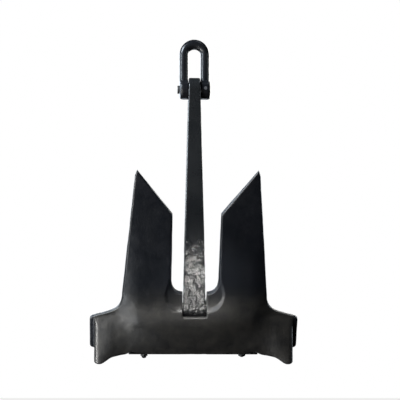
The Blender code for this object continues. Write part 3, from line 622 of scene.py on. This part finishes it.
def make_head():
    head = loft("head_casting", head_sections())
    combine(head, [prism("web", web_outline(side), -WEB_PLATE_HALF, WEB_PLATE_HALF, "Y")
                   for side in (-1, 1)], "UNION")
    slot = [(-SLOT_HALF, LIP_Z), (SLOT_HALF, LIP_Z), (SLOT_HALF, 0.3), (-SLOT_HALF, 0.3)]
    chamber = [(-CHAMBER_HALF_DEPTH, CUT_Z), (CHAMBER_HALF_DEPTH, CUT_Z),
               (CHAMBER_HALF_DEPTH, 0.05), (-CHAMBER_HALF_DEPTH, 0.05)]
    trough = arc((0.0, 0.0), TROUGH_RADIUS, 180, 0, 32)
    trough += [(TROUGH_RADIUS, CUT_Z), (-TROUGH_RADIUS, CUT_Z)]
    tools = [prism("slot", slot, -0.2, 0.2, "Y"),
             prism("chamber", chamber, -SLOT_HALF, SLOT_HALF, "X"),
             prism("trough", trough, -TROUGH_HALF_LENGTH, TROUGH_HALF_LENGTH, "X")]
    tools += [cylinder("stud_hole", STUD_HOLE_RADIUS, CUT_Z, STUD_HOLE_TOP_Z, "Z", 32,
                       (side * STUD_X, 0.0)) for side in (-1, 1)]
    tools += [loft("pocket", pocket_sections(side, front)) for side in (-1, 1)
              for front in (True, False)]
    combine(head, tools, "DIFFERENCE")
    remesh(head, HEAD_VOXEL, 3)
    roughen(head, cast_waves)
    thin_out(head, HEAD_KEEP)
    head.data.transform(HEAD_FRAME)
    return dress(head, HEAD_PAINT, "head", ["anchor_head"])


# ------------------------------------------------------------------ shank
SHANK_WIDTH_FOOT, SHANK_WIDTH_TOP = 0.0970, 0.0505
FOOT_RADIUS, NECK_HALF, TOP_EYE_RADIUS = 0.0430, 0.0380, 0.0515
FOOT_HOLE_RADIUS, TOP_HOLE_RADIUS = 0.0260, 0.0185
# How far the neck flares, and how far below the top eye's centre
NECK_FLARE = ((0.0005, 0.170), (0.0013, 0.130), (0.0035, 0.090), (0.0068, 0.055), (0.0100, 0.030))
SHANK_VOXEL = 0.0021
# Heights above the crown pin where the marks end, and the height over which they fade out
DENTS_TOP, DENTS_FADE = 0.30, 0.20
DRAWN_TOP, DRAWN_FADE = 0.60, 0.25


def shank_half_width(z):
    return (SHANK_WIDTH_FOOT + (SHANK_WIDTH_TOP - SHANK_WIDTH_FOOT) * z / PIN_TO_PIN) / 2


def shank_outline():
    foot = arc((0.0, 0.0), FOOT_RADIUS, 180, 360, 40)
    side = [(FOOT_RADIUS, 0.060), (NECK_HALF + 0.001, 0.700)]
    side += [(NECK_HALF + flare, PIN_TO_PIN - down) for flare, down in NECK_FLARE]
    top = arc((0.0, PIN_TO_PIN), TOP_EYE_RADIUS, -15, 195, 44)
    return foot + side + top + [(-y, z) for y, z in reversed(side)]


def forge_marks(point):
    """Draw marks along the shank and hammer dents at its foot, in metres."""
    height = point[2] - CROWN_PIN_Z
    foot = max(0.0, min(1.0, (DENTS_TOP - height) / DENTS_FADE))
    drawn = max(0.0, min(1.0, (DRAWN_TOP - height) / DRAWN_FADE)) * (1.0 - 0.6 * foot)
    grooves = noise.noise(Vector((point[0] * 120.0, point[1] * 120.0, point[2] * 5.0)))
    lumps = noise.noise(Vector((point[0] * 62.0, point[1] * 62.0, point[2] * 40.0)))
    dents = noise.noise(Vector(point) * 130.0 + Vector((1.0, 5.0, 2.0)))
    broad = noise.noise(Vector(point) * 12.0) * 0.00012
    return broad + 0.00045 * drawn * grooves + foot * (0.0028 * lumps + 0.0013 * dents - 0.0022)


def make_shank():
    shank = prism("shank_forging", shank_outline(), -1.0, 1.0, "X")
    for vertex in shank.data.vertices:
        vertex.co.x = math.copysign(shank_half_width(vertex.co.z), vertex.co.x)
    arris = shank.modifiers.new("arris", "BEVEL")
    arris.width = 0.0040
    arris.segments = 3
    arris.limit_method = "ANGLE"
    arris.angle_limit = math.radians(50)
    apply_modifiers(shank)
    combine(shank, [cylinder("foot_hole", FOOT_HOLE_RADIUS, -0.1, 0.1, "X"),
                    cylinder("top_hole", TOP_HOLE_RADIUS, -0.1, 0.1, "X", 64, (0.0, PIN_TO_PIN))],
            "DIFFERENCE")
    shank.data.transform(Matrix.Translation((0, 0, CROWN_PIN_Z)))
    remesh(shank, SHANK_VOXEL, 4)
    roughen(shank, forge_marks)
    return dress(shank, SHANK_PAINT, "shank", ["shank"])


# ------------------------------------------------------------------ shackle
LEG_X, LEG_RADIUS, LEG_FOOT_Z, LEG_TOP_Z = 0.0455, 0.0188, 0.010, 0.150
BOW_CENTRE_Z, CROWN_THICKENING = 0.154, 0.0032
BOW_STEPS, BAR_SIDES = 48, 40
EYE_INNER_X, EYE_LEFT_X, EYE_RIGHT_X = 0.0265, 0.064, 0.069
SHACKLE_PIN_HOLE, LOCK_PIN_HOLE, LOCK_PIN_X = 0.0181, 0.0050, 0.047
PLUG_HOLE, PLUG_Y = 0.0073, 0.0343
SHACKLE_VOXEL = 0.0011


def bow_path():
    """(x, z, radius) along the bow's bar, which is thicker over its crown than in its legs."""
    path = [(-LEG_X, z, LEG_RADIUS) for z in np.linspace(LEG_FOOT_Z, LEG_TOP_Z, 15)]
    for i in range(BOW_STEPS + 1):
        angle = math.pi - math.pi * i / BOW_STEPS
        path.append((LEG_X * math.cos(angle), BOW_CENTRE_Z + LEG_X * math.sin(angle),
                     LEG_RADIUS + CROWN_THICKENING * math.sin(angle) ** 2))
    return path + [(LEG_X, z, LEG_RADIUS) for z in np.linspace(LEG_TOP_Z, LEG_FOOT_Z, 15)]


def bow_tube():
    path = bow_path()
    sections = []
    for i, (x, z, radius) in enumerate(path):
        ax, az, _ = path[max(i - 1, 0)]
        bx, bz, _ = path[min(i + 1, len(path) - 1)]
        along = Vector((bx - ax, 0.0, bz - az)).normalized()
        side = Vector((along.z, 0.0, -along.x))
        ring = []
        for j in range(BAR_SIDES):
            a = 2 * math.pi * j / BAR_SIDES
            ring.append(Vector((x, 0.0, z)) + side * (radius * math.cos(a))
                        + Vector((0.0, radius * math.sin(a), 0.0)))
        sections.append(ring)
    return loft("shackle_forging", sections)


def turned(name, profile, steps=96):
    """A closed solid turned about Z from (radius, height) points."""
    bm = bmesh.new()
    verts = [bm.verts.new((r, 0.0, h)) for r, h in profile]
    edges = [bm.edges.new((a, b)) for a, b in zip(verts, verts[1:])]
    bmesh.ops.spin(bm, geom=verts + edges, cent=(0, 0, 0), axis=(0, 0, 1), angle=2 * math.pi,
                   steps=steps)
    bmesh.ops.remove_doubles(bm, verts=bm.verts, dist=0.00002)
    return object_from_bmesh(name, bm)


def eye_boss(side, outer_x):
    """The turned boss round an eye, from the bow's inner face out to outer_x."""
    thick = outer_x - EYE_INNER_X
    profile = [(0.0, thick), (0.024, thick), (0.031, thick - 0.0008), (0.037, thick - 0.003),
               (0.0405, thick - 0.0075), (0.042, thick - 0.014), (0.042, 0.003), (0.0410, 0.0008),
               (0.0385, 0.0), (0.0, 0.0)]
    eye = turned("eye", profile)
    eye.data.transform(Matrix.Translation((side * EYE_INNER_X, 0, 0))
                       @ Matrix.Rotation(side * math.pi / 2, 4, "Y"))
    return eye


def make_shackle():
    bow = bow_tube()
    combine(bow, [eye_boss(-1, EYE_LEFT_X), eye_boss(1, EYE_RIGHT_X)], "UNION")
    lock_place = (LOCK_PIN_X, 0.0)
    combine(bow, [cylinder("pin_hole", SHACKLE_PIN_HOLE, -0.1, 0.1, "X"),
                  cylinder("lock_hole", LOCK_PIN_HOLE, -0.1, 0.1, "Y", 32, lock_place),
                  cylinder("plug_front", PLUG_HOLE, -0.1, -PLUG_Y, "Y", 32, lock_place),
                  cylinder("plug_back", PLUG_HOLE, PLUG_Y, 0.1, "Y", 32, lock_place)],
            "DIFFERENCE")
    remesh(bow, SHACKLE_VOXEL, 3)
    roughen(bow, lambda p: noise.noise(Vector(p) * 40.0) * 0.0003)
    bow.data.transform(SHACKLE_FRAME)
    return dress(bow, SHACKLE_PAINT, "shackle", ["shackle_bow"])


make_head()
make_shank()
make_shackle()

# ------------------------------------------------------------------ CAD pieces that stay
CARRIED = {
    "shackle_pin": PIN_PAINT, "lock_pin": PIN_PAINT, "crown_pin": PIN_PAINT,
    "keeper_stud_left": PIN_PAINT, "keeper_stud_right": PIN_PAINT,
    "keeper_nut_left": PIN_PAINT, "keeper_nut_right": PIN_PAINT,
    "keeper_left": KEEPER_PAINT, "keeper_right": KEEPER_PAINT,
    "lead_plug_front": LEAD, "lead_plug_back": LEAD,
}
for node_name, paint in CARRIED.items():
    for slot in frame["nodes"][node_name].material_slots:
        slot.material = paint

# ------------------------------------------------------------------ floor, backdrop and world
FLOOR_Z, FLOOR_RADIUS, BACKDROP_RADIUS = -1.62, 30.0, 29.0
FLOOR_SIDES = 60


def stage_surface(name, material, vertices, faces):
    mesh = bpy.data.meshes.new(name)
    mesh.from_pydata(vertices, [], faces)
    mesh.materials.append(material)
    obj = link(bpy.data.objects.new(name, mesh))
    return obj


floor_paint, floor_nodes, _ = new_material("pale_floor")
floor_shader = floor_nodes["Principled BSDF"]
floor_shader.inputs["Base Color"].default_value = (0.86, 0.86, 0.86, 1.0)
floor_shader.inputs["Roughness"].default_value = 0.9
floor_shader.inputs["Emission Color"].default_value = (1.0, 1.0, 1.0, 1.0)
floor_shader.inputs["Emission Strength"].default_value = 0.85
floor_rim = arc((0.0, 0.0), FLOOR_RADIUS, 0, 360 - 360 / FLOOR_SIDES, FLOOR_SIDES - 1)
floor = stage_surface("floor", floor_paint, [(x, y, FLOOR_Z) for x, y in floor_rim],
                      [tuple(range(FLOOR_SIDES))])
floor.visible_glossy = False
floor.visible_diffuse = False

glow, glow_nodes, glow_links = new_material("white_backdrop")
glow_nodes.remove(glow_nodes["Principled BSDF"])
emitter = glow_nodes.new("ShaderNodeEmission")
emitter.inputs["Strength"].default_value = 1.0
glow_links.new(emitter.outputs[0], glow_nodes["Material Output"].inputs["Surface"])
bm = bmesh.new()
bmesh.ops.create_uvsphere(bm, u_segments=48, v_segments=24, radius=BACKDROP_RADIUS)
dome = object_from_bmesh("backdrop", bm)
dome.data.materials.append(glow)
for ray in ("visible_glossy", "visible_diffuse", "visible_transmission", "visible_shadow",
            "visible_volume_scatter"):
    setattr(dome, ray, False)

world = bpy.data.worlds.new("studio")
scene.world = world
world.use_nodes = True
background = world.node_tree.nodes["Background"]
background.inputs["Color"].default_value = (0.92, 0.96, 1.0, 1.0)
background.inputs["Strength"].default_value = 0.012


# ------------------------------------------------------------------ lights
def area_light(name, place, aim, size, power, colour):
    data = bpy.data.lights.new(name, "AREA")
    data.shape = "RECTANGLE"
    data.size, data.size_y = size
    data.energy = power
    data.color = colour
    light = link(bpy.data.objects.new(name, data))
    light.location = place
    light.rotation_mode = "QUATERNION"
    light.rotation_quaternion = (Vector(aim) - Vector(place)).to_track_quat("-Z", "Y")
    light.visible_camera = False
    return data


LIGHT_CENTRE = Vector((0.0, 0.0, -0.95))
LIGHT_RADIUS = 2.6
WARM, COOL = (1.0, 0.985, 0.95), (0.80, 0.90, 1.0)
# Soft boxes on a sphere round the anchor: azimuth from the front, elevation, size, power, colour
SOFT_BOXES = {
    "left_front": (-19, -15, 0.7, 5.8, WARM),
    "left_low": (-32, -15, 0.7, 5.0, WARM),
    "left_eye_level": (-32, 5, 0.7, 5.8, WARM),
    "left_side": (-46, 5, 0.7, 32.0, WARM),
    "left_side_low": (-62, -15, 0.7, 72.0, WARM),
    "left_under": (-80, -50, 0.7, 9.0, COOL),
    "left_top": (-62, 48, 0.7, 90.0, COOL),
    "left_high": (-80, 25, 0.7, 55.0, COOL),
    "right_side": (70, 25, 0.7, 8.0, COOL),
    "right_low": (70, -15, 0.7, 0.3, COOL),
    "right_top": (60, 72, 0.7, 4.0, COOL),
    "back_left": (-150, 25, 1.2, 28.0, COOL),
    "back_right": (152, 30, 1.2, 30.0, WARM),
    "back_low": (178, -18, 1.2, 12.0, COOL),
    "right_back": (116, 6, 1.0, 12.0, COOL),
    "left_deep": (-60, -42, 0.7, 12.0, WARM),
}
for light_name, (azimuth, elevation, size, power, colour) in SOFT_BOXES.items():
    turn, rise = math.radians(azimuth), math.radians(elevation)
    direction = Vector((math.sin(turn) * math.cos(rise), -math.cos(turn) * math.cos(rise),
                        math.sin(rise)))
    area_light(light_name, LIGHT_CENTRE + LIGHT_RADIUS * direction, LIGHT_CENTRE, (size, size),
               power, colour)

shank_spot = area_light("shank_spot", (0.03, -1.0, -1.0), (0.03, 0.0, -1.0), (0.10, 0.10), 0.24,
                        WARM)
shank_spot.spread = math.radians(28)
crotch_spot = area_light("crotch_spot", (0.0, -0.60, -0.25), (0.0, -0.08, -1.06), (0.30, 0.10),
                         0.36, WARM)
crotch_spot.spread = math.radians(30)
# Panels that face up from just above the floor, below the anchor's front and to its left
BOUNCE_Y, BOUNCE_Z, BOUNCE_SIZE = -0.35, -1.6, 0.36
for place_x, power in ((-1.1, 0.47), (-0.7, 0.64), (-0.4, 0.10), (-0.1, 0.02)):
    area_light("floor_bounce", (place_x, BOUNCE_Y, BOUNCE_Z), (place_x, BOUNCE_Y, 0.0),
               (BOUNCE_SIZE, BOUNCE_SIZE), power, COOL)
